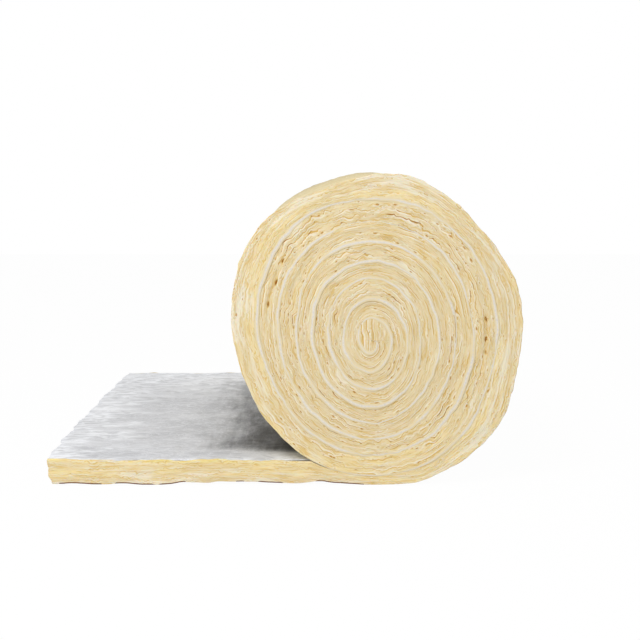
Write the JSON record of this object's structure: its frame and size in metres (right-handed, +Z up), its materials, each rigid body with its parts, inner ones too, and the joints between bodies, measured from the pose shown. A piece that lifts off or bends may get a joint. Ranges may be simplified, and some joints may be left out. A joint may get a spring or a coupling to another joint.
{
  "type": "insulation roll",
  "caption": "Roll of glass wool blanket with a foil facing wound inwards, its outer end rolled out flat with the foil up, for insulating roofs, walls and ducts.",
  "frame": {"origin": "on the floor, in the middle of the part's length and width", "axes": "+X from the rolled-out end to the roll, +Y along the roll's axis, +Z up"},
  "size_m": [0.9456, 1.2, 0.6212],
  "materials": {
    "wool": "matte, fibrous, in thin wavy layers",
    "foil": "satin, finely crinkled"
  },
  "bodies": {
    "root": {"wool_blanket": "wool", "foil_facing": "foil"}
  },
  "joints": []
}
